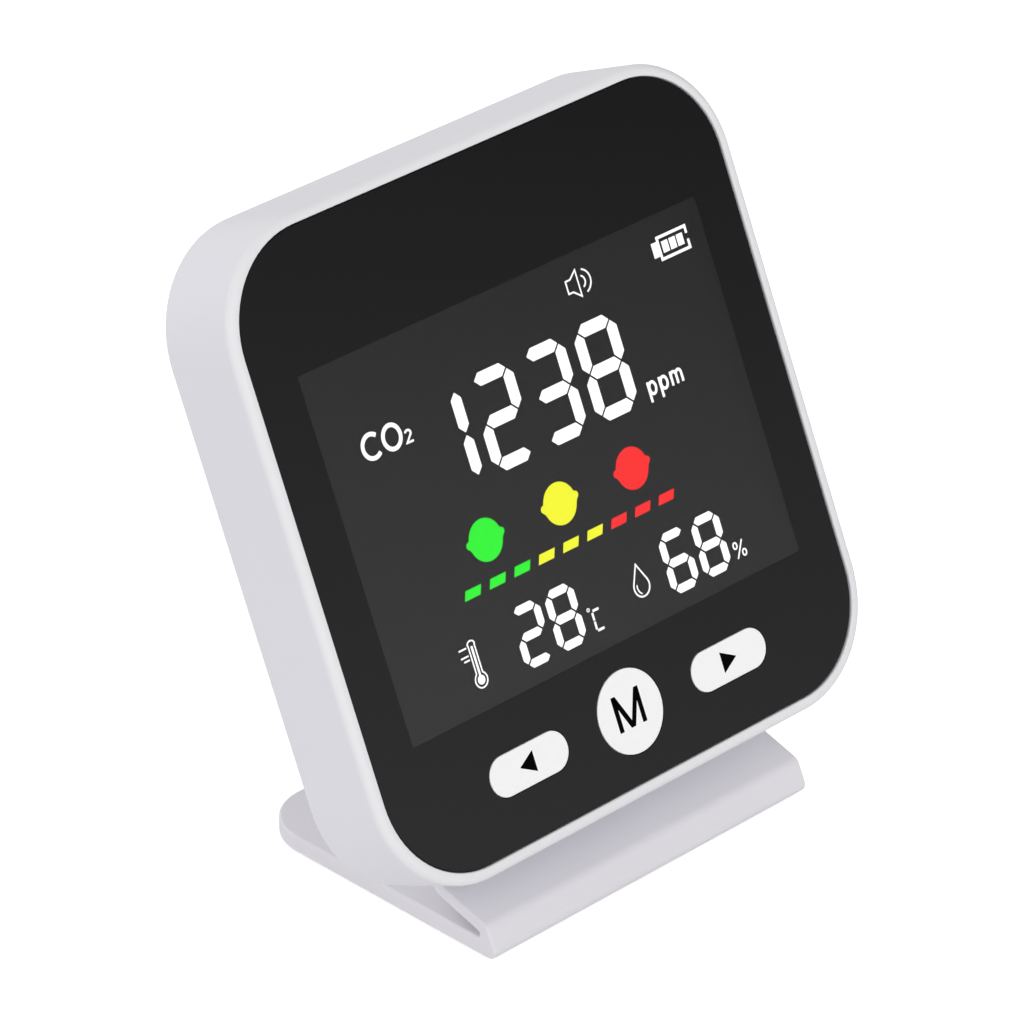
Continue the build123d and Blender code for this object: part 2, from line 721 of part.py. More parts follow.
save(stand, "stand")

with BuildPart() as grip_pad:
    with BuildSketch(Plane.XY):
        RectangleRounded(46.0, 33.0, 3.0)
    extrude(amount=PAD_T)
save(grip_pad, "grip_pad")
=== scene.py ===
import json
from math import cos, pi, radians, sin

import bmesh
import bpy
from mathutils import Matrix, Vector


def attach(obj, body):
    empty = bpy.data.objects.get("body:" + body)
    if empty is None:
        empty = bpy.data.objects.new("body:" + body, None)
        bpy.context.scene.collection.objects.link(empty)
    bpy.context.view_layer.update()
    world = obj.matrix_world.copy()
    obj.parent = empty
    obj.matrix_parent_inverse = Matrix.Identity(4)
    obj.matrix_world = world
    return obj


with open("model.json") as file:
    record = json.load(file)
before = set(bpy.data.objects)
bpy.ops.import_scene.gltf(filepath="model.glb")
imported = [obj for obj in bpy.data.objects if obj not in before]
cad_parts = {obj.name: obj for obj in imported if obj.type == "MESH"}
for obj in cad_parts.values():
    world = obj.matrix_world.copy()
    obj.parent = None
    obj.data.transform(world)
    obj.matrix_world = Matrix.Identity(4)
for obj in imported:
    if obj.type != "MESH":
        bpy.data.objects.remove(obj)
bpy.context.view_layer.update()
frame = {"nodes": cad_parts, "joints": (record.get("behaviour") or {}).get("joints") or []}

# The looks of a desktop carbon dioxide monitor. Blender works in metres; the sizes of what the
# display shows are written in millimetres, because that is how the display is drawn.
MM = 0.001

# ---- the leaning frame of the instrument ------------------------------------------------------
JOINTS = {joint["name"]: joint for joint in frame["joints"]}
ACROSS = Vector((1, 0, 0))
UP = Vector(JOINTS["monitor_lift"]["axis"]).normalized()
OUT = -Vector(JOINTS["mode_press"]["axis"]).normalized()


def reach(node, direction):
    """Lowest and highest place of a CAD node along a direction."""
    places = [direction.dot(vertex.co) for vertex in frame["nodes"][node].data.vertices]
    return min(places), max(places)


def middle(node, direction):
    """Place of a CAD node's middle along a direction."""
    return sum(reach(node, direction)) / 2


FACE_UP = middle("display_panel", UP)


def place(u, v, out):
    """Point u mm across and v mm above the middle of the front panel, at a level along OUT."""
    return ACROSS * (u * MM) + UP * (FACE_UP + v * MM) + OUT * out


# ---- flat printed and lit shapes --------------------------------------------------------------
ARC_STEP = radians(12)
LONGEST_MITRE = 2.0
NO_LENGTH = 1e-9
WELD = 1e-7


def arc(middle_u, middle_v, radius_u, radius_v, start, end):
    """Points on an ellipse's arc, angles in degrees, anticlockwise from the right."""
    start, end = radians(start), radians(end)
    count = max(2, round(abs(end - start) / ARC_STEP))
    turns = [start + (end - start) * k / count for k in range(count + 1)]
    return [(middle_u + radius_u * cos(t), middle_v + radius_v * sin(t)) for t in turns]


def ring(middle_u, middle_v, radius_u, radius_v=None):
    """Points once round an ellipse, without repeating the first."""
    return arc(middle_u, middle_v, radius_u, radius_v or radius_u, 0, 360)[:-1]


def rectangle(left, right, low, high, slant=0.0):
    """Corners of a rectangle; slant moves its upper edge to the right."""
    return [(left, low), (right, low), (right + slant, high), (left + slant, high)]


def fill(points):
    """A filled outline."""
    return {"points": points, "width": None, "closed": True}


def line(points, width, closed=False):
    """A stroke of even width along points."""
    return {"points": points, "width": width, "closed": closed}


def stroke_edges(points, width, closed):
    """Left and right edges of a stroke, mitred at its corners."""
    count = len(points)
    left, right = [], []
    for k in range(count):
        here = Vector(points[k])
        before = Vector(points[k - 1]) if closed or k > 0 else here
        after = Vector(points[(k + 1) % count]) if closed or k < count - 1 else here
        steps = [step.normalized() for step in (here - before, after - here) if step.length > NO_LENGTH]
        along = sum(steps, Vector((0, 0))).normalized()
        mitre = 1 / max(1 / LONGEST_MITRE, along.dot(steps[0]))
        side = Vector((-along.y, along.x)) * (width / 2 * mitre)
        left.append(tuple(here + side))
        right.append(tuple(here - side))
    return left, right


def thick_face(bm, corners, low, high, open_sides=()):
    """A flat piece between two levels; open_sides lists the sides that join a neighbour."""
    top = [bm.verts.new(place(u, v, high)) for u, v in corners]
    base = [bm.verts.new(place(u, v, low)) for u, v in corners]
    bm.faces.new(top)
    bm.faces.new(base[::-1])
    for k in range(len(corners)):
        if k not in open_sides:
            after = (k + 1) % len(corners)
            bm.faces.new((base[k], base[after], top[after], top[k]))


def add_shape(bm, shape, low, high):
    """A filled outline or a stroke, as a thin solid between two levels."""
    points, width, closed = shape["points"], shape["width"], shape["closed"]
    if width is None:
        thick_face(bm, points, low, high)
        return
    left, right = stroke_edges(points, width, closed)
    count = len(points)
    runs = count if closed else count - 1
    for k in range(runs):
        after = (k + 1) % count
        # side 3 of each stretch meets the one before it, and side 1 the one after it
        joined = [side for side, meets in ((3, closed or k > 0), (1, closed or k < runs - 1)) if meets]
        thick_face(bm, [right[k], right[after], left[after], left[k]], low, high, joined)


def flat_piece(name, shapes, level, thickness, material, body):
    """One thin piece made of shapes, lying on a level and riding on a body."""
    bm = bmesh.new()
    for shape in shapes:
        add_shape(bm, shape, level, level + thickness)
    bmesh.ops.remove_doubles(bm, verts=bm.verts, dist=WELD)
    bmesh.ops.recalc_face_normals(bm, faces=bm.faces)
    mesh = bpy.data.meshes.new(name)
    bm.to_mesh(mesh)
    bm.free()
    mesh.materials.append(material)
    piece = bpy.data.objects.new(name, mesh)
    bpy.context.scene.collection.objects.link(piece)
    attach(piece, body)
    return piece


# ---- node helpers -----------------------------------------------------------------------------
def new_group(name, inputs, outputs):
    """A shader node group with float inputs and typed outputs; returns it with its two end nodes."""
    group = bpy.data.node_groups.new(name, "ShaderNodeTree")
    for socket, default in inputs.items():
        added = group.interface.new_socket(socket, in_out="INPUT", socket_type="NodeSocketFloat")
        added.default_value = default
    for socket, kind in outputs.items():
        group.interface.new_socket(socket, in_out="OUTPUT", socket_type="NodeSocket" + kind)
    return group, group.nodes.new("NodeGroupInput"), group.nodes.new("NodeGroupOutput")


def add_node(tree, kind, values=None, **settings):
    """A node with its settings and its unlinked inputs set."""
    node = tree.nodes.new("ShaderNode" + kind)
    for key, value in settings.items():
        setattr(node, key, value)
    for key, value in (values or {}).items():
        if isinstance(value, bpy.types.NodeSocket):
            tree.links.new(value, node.inputs[key])
        else:
            node.inputs[key].default_value = value
    return node


def math_node(tree, operation, *values, clamp=False):
    """Result of a Math node."""
    return add_node(tree, "Math", dict(enumerate(values)), operation=operation, use_clamp=clamp).outputs[0]


# the Mix node has a set of sockets for each type of value; these are the factor and the colours
MIX_FACTOR, MIX_FIRST, MIX_SECOND, MIX_RESULT = 0, 6, 7, 2


def blend_colour(tree, factor, first, second, mode="MIX"):
    """Result of a colour Mix node."""
    node = add_node(tree, "Mix", data_type="RGBA", blend_type=mode)
    for index, value in ((MIX_FACTOR, factor), (MIX_FIRST, first), (MIX_SECOND, second)):
        if isinstance(value, bpy.types.NodeSocket):
            tree.links.new(value, node.inputs[index])
        else:
            node.inputs[index].default_value = value
    return node.outputs[MIX_RESULT]


def own_position(tree):
    """Position on the piece at rest, in metres of the frame."""
    return add_node(tree, "TexCoord").outputs["Object"]


def place_along(tree, where, direction):
    """How far a position lies along a direction."""
    return add_node(tree, "VectorMath", {0: where, 1: direction}, operation="DOT_PRODUCT").outputs["Value"]


# ---- effects that several finishes share ------------------------------------------------------
# Scales of noise are in cells per metre.
CLOUD_SCALE = 55.0
CLOUD_IN_ROUGHNESS = 0.16
GRAIN_IN_ROUGHNESS = 0.12
WEAR_GAIN = 6.0
WEAR_SCALE = 260.0
WIPE_SCALE = 90.0
WIPE_TURN = (0.3, 0.2, 0.5)
WIPE_STRETCH = (1.0, 5.0, 2.0)


def make_moulded_skin():
    """Fine spark-eroded texture of moulded plastic: grain, slight mottling, a roughness that varies."""
    group, start, end = new_group(
        "moulded_skin",
        {"Grain Size": 0.00016, "Grain Depth": 0.000004, "Roughness": 0.5, "Mottle": 0.03},
        {"Normal": "Vector", "Roughness": "Float", "Shade": "Float"},
    )
    where = own_position(group)
    scale = math_node(group, "DIVIDE", 1.0, start.outputs["Grain Size"])
    grain = add_node(group, "TexNoise", {"Vector": where, "Scale": scale, "Detail": 2.0, "Roughness": 0.6})
    bump = add_node(group, "Bump", {"Strength": 1.0, "Height": grain.outputs["Fac"],
                                    "Distance": start.outputs["Grain Depth"]})
    cloud = add_node(group, "TexNoise", {"Vector": where, "Scale": CLOUD_SCALE, "Detail": 3.0})
    drift = math_node(group, "SUBTRACT", cloud.outputs["Fac"], 0.5)
    uneven = math_node(group, "SUBTRACT", grain.outputs["Fac"], 0.5)
    speck = math_node(group, "MULTIPLY", uneven, GRAIN_IN_ROUGHNESS)
    sheen = math_node(group, "MULTIPLY", drift, CLOUD_IN_ROUGHNESS)
    rough = math_node(group, "ADD", start.outputs["Roughness"], sheen)
    shade = math_node(group, "MULTIPLY_ADD", drift, start.outputs["Mottle"], 1.0)
    group.links.new(bump.outputs["Normal"], end.inputs["Normal"])
    group.links.new(math_node(group, "ADD", rough, speck, clamp=True), end.inputs["Roughness"])
    group.links.new(shade, end.inputs["Shade"])
    return group


def make_edge_mask():
    """Mask of the outer edges, broken up where hands and cloth have polished them; it places both wear and a
    painted highlight.
    """
    group, start, end = new_group("edge_wear_and_highlight", {"Width": 0.0004, "Amount": 0.5}, {"Mask": "Float"})
    soft = add_node(group, "Bevel", {"Radius": start.outputs["Width"]}, samples=6)
    true = add_node(group, "NewGeometry").outputs["Normal"]
    turned = math_node(group, "SUBTRACT", 1.0, place_along(group, soft.outputs["Normal"], true))
    edge = math_node(group, "MULTIPLY", turned, WEAR_GAIN, clamp=True)
    patch = add_node(group, "TexNoise", {"Vector": own_position(group), "Scale": WEAR_SCALE, "Detail": 4.0})
    broken = math_node(group, "MULTIPLY", edge, patch.outputs["Fac"])
    mask = math_node(group, "MULTIPLY", broken, start.outputs["Amount"], clamp=True)
    group.links.new(mask, end.inputs["Mask"])
    return group


def make_handling_film():
    """Faint wiping marks that dull a polished surface."""
    group, start, end = new_group(
        "handling_film", {"Roughness": 0.08, "Smear": 0.08}, {"Roughness": "Float"}
    )
    stretch = add_node(group, "Mapping", {"Vector": own_position(group), "Rotation": WIPE_TURN,
                                          "Scale": WIPE_STRETCH})
    wipe = add_node(group, "TexNoise", {"Vector": stretch.outputs[0], "Scale": WIPE_SCALE, "Detail": 5.0})
    smear = math_node(group, "MULTIPLY", wipe.outputs["Fac"], start.outputs["Smear"])
    group.links.new(math_node(group, "ADD", start.outputs["Roughness"], smear), end.inputs["Roughness"])
    return group


SKIN = make_moulded_skin()
WEAR_AND_HIGHLIGHT = make_edge_mask()
FILM = make_handling_film()


def new_material(name):
    """An empty material and its tree, with a Principled BSDF on its output."""
    material = bpy.data.materials.new(name)
    material.use_nodes = True
    tree = material.node_tree
    tree.nodes.clear()
    surface = add_node(tree, "BsdfPrincipled")
    output = add_node(tree, "OutputMaterial", {"Surface": surface.outputs[0]})
    output.is_active_output = True
    return material, tree, surface


def use_group(tree, group, **values):
    """A group placed in a material, its inputs set by name."""
    node = add_node(tree, "Group")
    node.node_tree = group
    for key, value in values.items():
        node.inputs[key.replace("_", " ")].default_value = value
    return node


# a painted highlight on the front rim, a lighter colour, begins RIM_DEPTH behind its front and is full after
# RIM_BLEND
RIM_DEPTH = 0.0010
RIM_BLEND = 0.0005
# how much smoother a worn edge is
WEAR_POLISH = 0.25
# the darker places of a drawn metal and of a lit part, and a lit part's own colour, as shares
METAL_DIP = 0.82
GLOW_DIP = 0.97
OWN_COLOUR = 0.2
GLOW_SCALE = 120.0


def moulded(name, colour, roughness=0.5, grain=0.00016, depth=0.000004, mottle=0.03, wear_and_highlight_amount=0.25,
            width=0.0004, edge=1.12, specular=0.5, rim_highlight=None):
    """Moulded plastic: textured skin, slight mottling, edges polished and a little lighter, the lighter edges
    partly wear and partly a painted highlight.

    The last argument gives (level along OUT, colour) of a painted highlight: a front rim coloured brighter
    than the walls, standing in for the light that falls on it."""
    material, tree, surface = new_material(name)
    skin = use_group(tree, SKIN, Grain_Size=grain, Grain_Depth=depth, Roughness=roughness, Mottle=mottle)
    wear_and_highlight_node = use_group(tree, WEAR_AND_HIGHLIGHT, Width=width, Amount=wear_and_highlight_amount)
    shade = add_node(tree, "CombineColor", {k: skin.outputs["Shade"] for k in ("Red", "Green", "Blue")})
    base = (*colour, 1)
    # painted highlight: the front rim gets a lighter colour than the walls, standing in for light on it
    if rim_highlight:
        rim_level, rim_highlight_colour = rim_highlight
        above = math_node(tree, "SUBTRACT", place_along(tree, own_position(tree), OUT), rim_level - RIM_DEPTH)
        share = math_node(tree, "MULTIPLY", above, 1 / RIM_BLEND, clamp=True)
        base = blend_colour(tree, share, base, (*rim_highlight_colour, 1))
    mottled = blend_colour(tree, 1.0, base, shade.outputs[0], "MULTIPLY")
    # painted highlight: the worn edges are also coloured lighter, standing in for highlight lines along them
    light = tuple(min(1.0, c * edge) for c in colour)
    worn_and_highlit_colour = blend_colour(tree, wear_and_highlight_node.outputs["Mask"], mottled, (*light, 1))
    polished = math_node(tree, "MULTIPLY", wear_and_highlight_node.outputs["Mask"], WEAR_POLISH)
    rough = math_node(tree, "SUBTRACT", skin.outputs["Roughness"], polished)
    tree.links.new(worn_and_highlit_colour, surface.inputs["Base Color"])
    tree.links.new(rough, surface.inputs["Roughness"])
    tree.links.new(skin.outputs["Normal"], surface.inputs["Normal"])
    surface.inputs["Specular IOR Level"].default_value = specular
    return material


def lit(name, colour, strength):
    """A lit part of the display, a touch uneven like a backlight behind a film."""
    material, tree, surface = new_material(name)
    uneven = add_node(tree, "TexNoise", {"Vector": own_position(tree), "Scale": GLOW_SCALE, "Detail": 2.0})
    dim = tuple(c * GLOW_DIP for c in colour)
    glow = blend_colour(tree, uneven.outputs["Fac"], (*colour, 1), (*dim, 1))
    tree.links.new(glow, surface.inputs["Emission Color"])
    surface.inputs["Base Color"].default_value = (*(c * OWN_COLOUR for c in colour), 1)
    surface.inputs["Emission Strength"].default_value = strength
    surface.inputs["Roughness"].default_value = 0.6
    return material


def metal(name, colour, roughness=0.3, grain=0.0002, stretch=(1, 1, 1), depth=0.000002, uneven=0.12):
    """Plated or stamped metal with a drawn grain."""
    material, tree, surface = new_material(name)
    drawn = add_node(tree, "Mapping", {"Vector": own_position(tree), "Scale": stretch})
    lines = add_node(tree, "TexNoise", {"Vector": drawn.outputs[0], "Scale": 1 / grain, "Detail": 3.0})
    bump = add_node(tree, "Bump", {"Strength": 1.0, "Distance": depth, "Height": lines.outputs["Fac"]})
    film = use_group(tree, FILM, Roughness=roughness, Smear=uneven)
    dark = tuple(c * METAL_DIP for c in colour)
    tone = blend_colour(tree, lines.outputs["Fac"], (*colour, 1), (*dark, 1))
    tree.links.new(tone, surface.inputs["Base Color"])
    tree.links.new(film.outputs["Roughness"], surface.inputs["Roughness"])
    tree.links.new(bump.outputs["Normal"], surface.inputs["Normal"])
    surface.inputs["Metallic"].default_value = 1.0
    return material


# ---- finishes of this instrument --------------------------------------------------------------
# The window in the panel's print, in mm from the panel's middle. WINDOW_RELIEF is how much larger
# it is behind than in front, and FRONT_SKIN the depth that counts as the front.
WINDOW_MIDDLE = (0.05, 0.23)
WINDOW_HALF = (32.1, 22.38)
WINDOW_CORNER = 0.25
WINDOW_RELIEF = 1.6
FRONT_SKIN = 0.5
WINDOW_ALPHA = 0.55
PANEL_SPECULAR = 0.12
# The print and the window's tint, each with a lighter copy that holds a painted reflection, and how fast the
# painted reflection grows: shares per metre along UP and ACROSS.
INK = (0.0035, 0.0035, 0.0036, 1)
INK_WITH_PAINTED_REFLECTION = (0.020, 0.020, 0.020, 1)
SMOKE = (0.030, 0.030, 0.0303, 1)
SMOKE_WITH_PAINTED_REFLECTION = (0.083, 0.083, 0.083, 1)
REFLECTION_RISE_UP = 11.0
REFLECTION_RISE_ACROSS = 4.0
REFLECTION_AT_MIDDLE = 0.5


def outside_window(tree, where):
    """How far a place lies outside the window's rectangle drawn in by the radius of its corners."""
    overshoots = []
    for direction, origin, half in (
        (ACROSS, WINDOW_MIDDLE[0] * MM, WINDOW_HALF[0]),
        (UP, FACE_UP + WINDOW_MIDDLE[1] * MM, WINDOW_HALF[1]),
    ):
        along = place_along(tree, where, direction)
        off = math_node(tree, "ABSOLUTE", math_node(tree, "SUBTRACT", along, origin))
        over = math_node(tree, "SUBTRACT", off, (half - WINDOW_CORNER) * MM)
        overshoots.append(math_node(tree, "MAXIMUM", over, 0.0))
    squares = [math_node(tree, "MULTIPLY", over, over) for over in overshoots]
    return math_node(tree, "SQRT", math_node(tree, "ADD", *squares))


def make_panel_finish():
    """Black printed acrylic, with a clear window over the display."""
    material, tree, surface = new_material("panel_black")
    where = own_position(tree)
    # the tint is on the front face; the print behind stays clear of the window's edge
    front = reach("display_panel", OUT)[1] - FRONT_SKIN * MM
    in_front = math_node(tree, "GREATER_THAN", place_along(tree, where, OUT), front)
    behind_edge = (WINDOW_CORNER + WINDOW_RELIEF) * MM
    edge = math_node(tree, "MULTIPLY_ADD", in_front, -WINDOW_RELIEF * MM, behind_edge)
    printed = math_node(tree, "GREATER_THAN", outside_window(tree, where), edge)
    # painted reflection: both grow a little lighter towards the lower left
    slope = place_along(tree, where, UP * REFLECTION_RISE_UP + ACROSS * REFLECTION_RISE_ACROSS)
    painted_reflection = math_node(tree, "SUBTRACT", REFLECTION_AT_MIDDLE + REFLECTION_RISE_UP * FACE_UP, slope, clamp=True)
    ink = blend_colour(tree, painted_reflection, INK, INK_WITH_PAINTED_REFLECTION)
    smoke = blend_colour(tree, painted_reflection, SMOKE, SMOKE_WITH_PAINTED_REFLECTION)
    film = use_group(tree, FILM, Roughness=0.16, Smear=0.10)
    tint = math_node(tree, "MULTIPLY", in_front, WINDOW_ALPHA)
    tree.links.new(blend_colour(tree, printed, smoke, ink), surface.inputs["Base Color"])
    tree.links.new(film.outputs["Roughness"], surface.inputs["Roughness"])
    tree.links.new(math_node(tree, "MAXIMUM", printed, tint), surface.inputs["Alpha"])
    surface.inputs["Specular IOR Level"].default_value = PANEL_SPECULAR
    return material


def make_polariser_finish():
    """Nearly black polarising film on the display's glass."""
    material, tree, surface = new_material("display_polariser")
    film = use_group(tree, FILM, Roughness=0.35, Smear=0.05)
    cloud = add_node(tree, "TexNoise", {"Vector": own_position(tree), "Scale": 40.0, "Detail": 2.0})
    tone = blend_colour(tree, cloud.outputs["Fac"], (0.003, 0.003, 0.0032, 1), (0.005, 0.005, 0.0052, 1))
    tree.links.new(tone, surface.inputs["Base Color"])
    tree.links.new(film.outputs["Roughness"], surface.inputs["Roughness"])
    surface.inputs["Specular IOR Level"].default_value = 0.1
    return material


BOARD_GREEN = (0.010, 0.085, 0.035, 1)
TRACK_GREEN = (0.022, 0.150, 0.060, 1)
TIN = (0.62, 0.56, 0.40, 1)
TRACK_SCALE = 260.0
TRACK_CREST = 0.72
TRACK_FIELD_SCALE = 90.0
VIA_SCALE = 230.0
VIA_SIZE = 0.10


def make_board_finish():
    """Green solder mask over copper tracks, with tinned vias."""
    material, tree, surface = new_material("solder_mask_green")
    where = own_position(tree)
    film = use_group(tree, FILM, Roughness=0.25, Smear=0.12)
    masks = []
    # tracks run one way, then across it, each in its own fields of the board
    for turn, bare_share in ((0.0, 0.45), (pi / 2, 0.5)):
        spun = add_node(tree, "Mapping", {"Vector": where, "Rotation": (0.0, turn, 0.0)}).outputs[0]
        wave = add_node(tree, "TexWave", {"Vector": spun, "Scale": TRACK_SCALE, "Distortion": 0.0})
        fields = add_node(tree, "TexVoronoi", {"Vector": spun, "Scale": TRACK_FIELD_SCALE},
                          distance="CHEBYCHEV")
        crest = math_node(tree, "GREATER_THAN", wave.outputs["Fac"], TRACK_CREST)
        gate = math_node(tree, "GREATER_THAN", fields.outputs["Color"], bare_share)
        masks.append(math_node(tree, "MULTIPLY", crest, gate))
    tracks = math_node(tree, "MAXIMUM", *masks)
    vias = add_node(tree, "TexVoronoi", {"Vector": where, "Scale": VIA_SCALE})
    via = math_node(tree, "LESS_THAN", vias.outputs["Distance"], VIA_SIZE)
    green = blend_colour(tree, tracks, BOARD_GREEN, TRACK_GREEN)
    tree.links.new(blend_colour(tree, via, green, TIN), surface.inputs["Base Color"])
    tree.links.new(via, surface.inputs["Metallic"])
    tree.links.new(film.outputs["Roughness"], surface.inputs["Roughness"])
    bump = add_node(tree, "Bump", {"Strength": 0.6, "Distance": 0.00003, "Height": tracks})
    tree.links.new(bump.outputs["Normal"], surface.inputs["Normal"])
    return material


CLEAR_ACRYLIC = (0.93, 0.96, 0.98, 1)
WHITE_DOT = (1, 1, 1, 1)
DOT_SCALE = 900.0
DOT_SIZE = 0.3
DOT_MATT = 0.4
ACRYLIC_ROUGHNESS = 0.08
ACRYLIC_IOR = 1.49


def make_guide_finish():
    """Clear acrylic of the light guide, with its field of printed dots."""
    material, tree, surface = new_material("guide_acrylic")
    dots = add_node(tree, "TexVoronoi", {"Vector": own_position(tree), "Scale": DOT_SCALE}, feature="F1")
    dot = math_node(tree, "LESS_THAN", dots.outputs["Distance"], DOT_SIZE)
    rough = math_node(tree, "MULTIPLY_ADD", dot, DOT_MATT, ACRYLIC_ROUGHNESS)
    tree.links.new(blend_colour(tree, dot, CLEAR_ACRYLIC, WHITE_DOT), surface.inputs["Base Color"])
    tree.links.new(rough, surface.inputs["Roughness"])
    surface.inputs["Transmission Weight"].default_value = 0.9
    surface.inputs["IOR"].default_value = ACRYLIC_IOR
    return material


# height of the weave, from -1 to 1, above which it shows its gaps
GAP_LEVEL = 0.45


def make_mesh_finish(name, pitch, thread, gap):
    """Woven mesh or film: crossing threads with small holes."""
    material, tree, surface = new_material(name)
    where = own_position(tree)
    ridges = []
    for direction in (ACROSS, UP):
        turns = math_node(tree, "MULTIPLY", place_along(tree, where, direction), 2 * pi / pitch)
        ridges.append(math_node(tree, "SINE", turns))
    weave = math_node(tree, "MULTIPLY", *ridges)
    tone = blend_colour(tree, math_node(tree, "GREATER_THAN", weave, GAP_LEVEL), thread, gap)
    bump = add_node(tree, "Bump", {"Strength": 0.8, "Distance": 0.00003, "Height": weave})
    tree.links.new(tone, surface.inputs["Base Color"])
    tree.links.new(bump.outputs["Normal"], surface.inputs["Normal"])
    surface.inputs["Roughness"].default_value = 0.8
    return material


def make_foil_finish():
    """Crinkled aluminium laminate of the cell's pouch."""
    material, tree, surface = new_material("cell_foil")
    folds = add_node(tree, "TexNoise", {"Vector": own_position(tree), "Scale": 420.0, "Detail": 6.0,
                                        "Distortion": 1.2})
    bump = add_node(tree, "Bump", {"Strength": 0.7, "Distance": 0.0001, "Height": folds.outputs["Fac"]})
    tone = blend_colour(tree, folds.outputs["Fac"], (0.72, 0.73, 0.75, 1), (0.86, 0.87, 0.88, 1))
    film = use_group(tree, FILM, Roughness=0.24, Smear=0.2)
    tree.links.new(tone, surface.inputs["Base Color"])
    tree.links.new(film.outputs["Roughness"], surface.inputs["Roughness"])
    tree.links.new(bump.outputs["Normal"], surface.inputs["Normal"])
    surface.inputs["Metallic"].default_value = 1.0
    return material


LAVENDER_WHITE = (0.76, 0.75, 0.80)
# painted highlight: the rim's lighter white stands in for the light on the front rim
RIM_PAINTED_HIGHLIGHT = (0.81, 0.805, 0.83)
FINISHES = {
    "shell_white": moulded("shell_white", LAVENDER_WHITE, roughness=0.46,
                           rim_highlight=(reach("front_housing", OUT)[1], RIM_PAINTED_HIGHLIGHT)),
    "cover_white": moulded("cover_white", (0.74, 0.73, 0.78), roughness=0.52, grain=0.00022, depth=0.000006),
    # the stand's edges get a stronger painted highlight
    "stand_white": moulded("stand_white", (0.765, 0.75, 0.79), roughness=0.44, wear_and_highlight_amount=0.6, edge=1.16),
    "panel_black": make_panel_finish(),
    "display_polariser": make_polariser_finish(),
    "key_white": moulded("key_white", (0.97, 0.97, 0.97), roughness=0.40, depth=0.000002, mottle=0.015,
                         wear_and_highlight_amount=0.1),
    "key_ink": moulded("key_ink", (0.001, 0.001, 0.001), roughness=0.6, depth=0.000002, wear_and_highlight_amount=0.0,
                       specular=0.02),
    "tape_black": moulded("tape_black", (0.02, 0.02, 0.02), roughness=0.8),
    "chip_black": moulded("chip_black", (0.018, 0.018, 0.02), roughness=0.55, grain=0.0001, edge=1.6),
    "black_nylon": moulded("black_nylon", (0.022, 0.022, 0.023), roughness=0.5, edge=1.5),
    "flex_amber": moulded("flex_amber", (0.50, 0.20, 0.03), roughness=0.25, depth=0.000001, mottle=0.2),
    "socket_ivory": moulded("socket_ivory", (0.78, 0.72, 0.60), roughness=0.5),
    "tray_white": moulded("tray_white", (0.90, 0.90, 0.90), roughness=0.4),
    "led_phosphor": moulded("led_phosphor", (0.95, 0.78, 0.22), roughness=0.35, mottle=0.1),
    "ceramic_tan": moulded("ceramic_tan", (0.30, 0.20, 0.12), roughness=0.4, mottle=0.4, edge=2.2, wear_and_highlight_amount=0.9),
    "foam_black": moulded("foam_black", (0.05, 0.05, 0.055), roughness=0.95, grain=0.0003, depth=0.00006),
    "silicone_grey": moulded("silicone_grey", (0.10, 0.10, 0.105), roughness=0.75, grain=0.0002,
                             depth=0.00001),
    "switch_steel": metal("switch_steel", (0.66, 0.66, 0.68), 0.30),
    "nickel": metal("nickel", (0.72, 0.69, 0.62), 0.22),
    "plated_steel": metal("plated_steel", (0.56, 0.56, 0.58), 0.28, stretch=(1, 1, 6)),
    "sensor_can": metal("sensor_can", (0.74, 0.72, 0.66), 0.34, grain=0.0004),
    "solder_mask_green": make_board_finish(),
    "guide_acrylic": make_guide_finish(),
    "cell_foil": make_foil_finish(),
    "filter_mesh": make_mesh_finish("filter_mesh", 0.0005, (0.05, 0.05, 0.05, 1), (0.005, 0.005, 0.005, 1)),
    "membrane_film": make_mesh_finish("membrane_film", 0.0003, (0.86, 0.86, 0.85, 1), (0.7, 0.7, 0.69, 1)),
}
FINISH_OF = {
    "front_housing": "shell_white", "rear_cover": "cover_white", "stand": "stand_white",
    "grip_pad": "silicone_grey", "display_panel": "panel_black", "panel_tape": "tape_black",
    "lcd_front_glass": "display_polariser", "lcd_rear_glass": "display_polariser",
    "lcd_driver": "chip_black", "lcd_flex": "flex_amber", "lcd_connector": "socket_ivory",
    "lcd_tray": "tray_white", "light_guide": "guide_acrylic", "backlight_leds": "led_phosphor",
    "led_strip": "flex_amber", "main_board": "solder_mask_green", "sensor_board": "solder_mask_green",
    "microcontroller": "chip_black", "power_chip": "chip_black", "climate_sensor": "chip_black",
    "board_chips": "ceramic_tan", "battery": "cell_foil", "battery_pad": "foam_black",
    "battery_tabs": "nickel", "buzzer": "black_nylon", "usb_shell": "plated_steel",
    "usb_insert": "black_nylon", "co2_sensor": "sensor_can", "sensor_membrane": "membrane_film",
    "sensor_headers": "black_nylon", "dust_filter": "filter_mesh", "cover_screws": "plated_steel",
}
for key in ("left", "mode", "right"):
    FINISH_OF[f"{key}_key"] = "key_white"
    FINISH_OF[f"{key}_switch"] = "switch_steel"
    FINISH_OF[f"{key}_plunger"] = "black_nylon"

for node, finish in FINISH_OF.items():
    materials = frame["nodes"][node].data.materials
    materials.clear()
    materials.append(FINISHES[finish])


# ---- what the display shows -------------------------------------------------------------------
# Sizes in mm. The reading lies on the display's glass, a little right of the window's middle, and
# each part of it is placed from the reading's own middle.
READING_MIDDLE = Vector((0.90, -0.01))
SEGMENTS_OF = {"1": "bc", "2": "abged", "3": "abgcd", "6": "afgecd", "8": "abcdefg"}
SEGMENT_GAP = 0.17


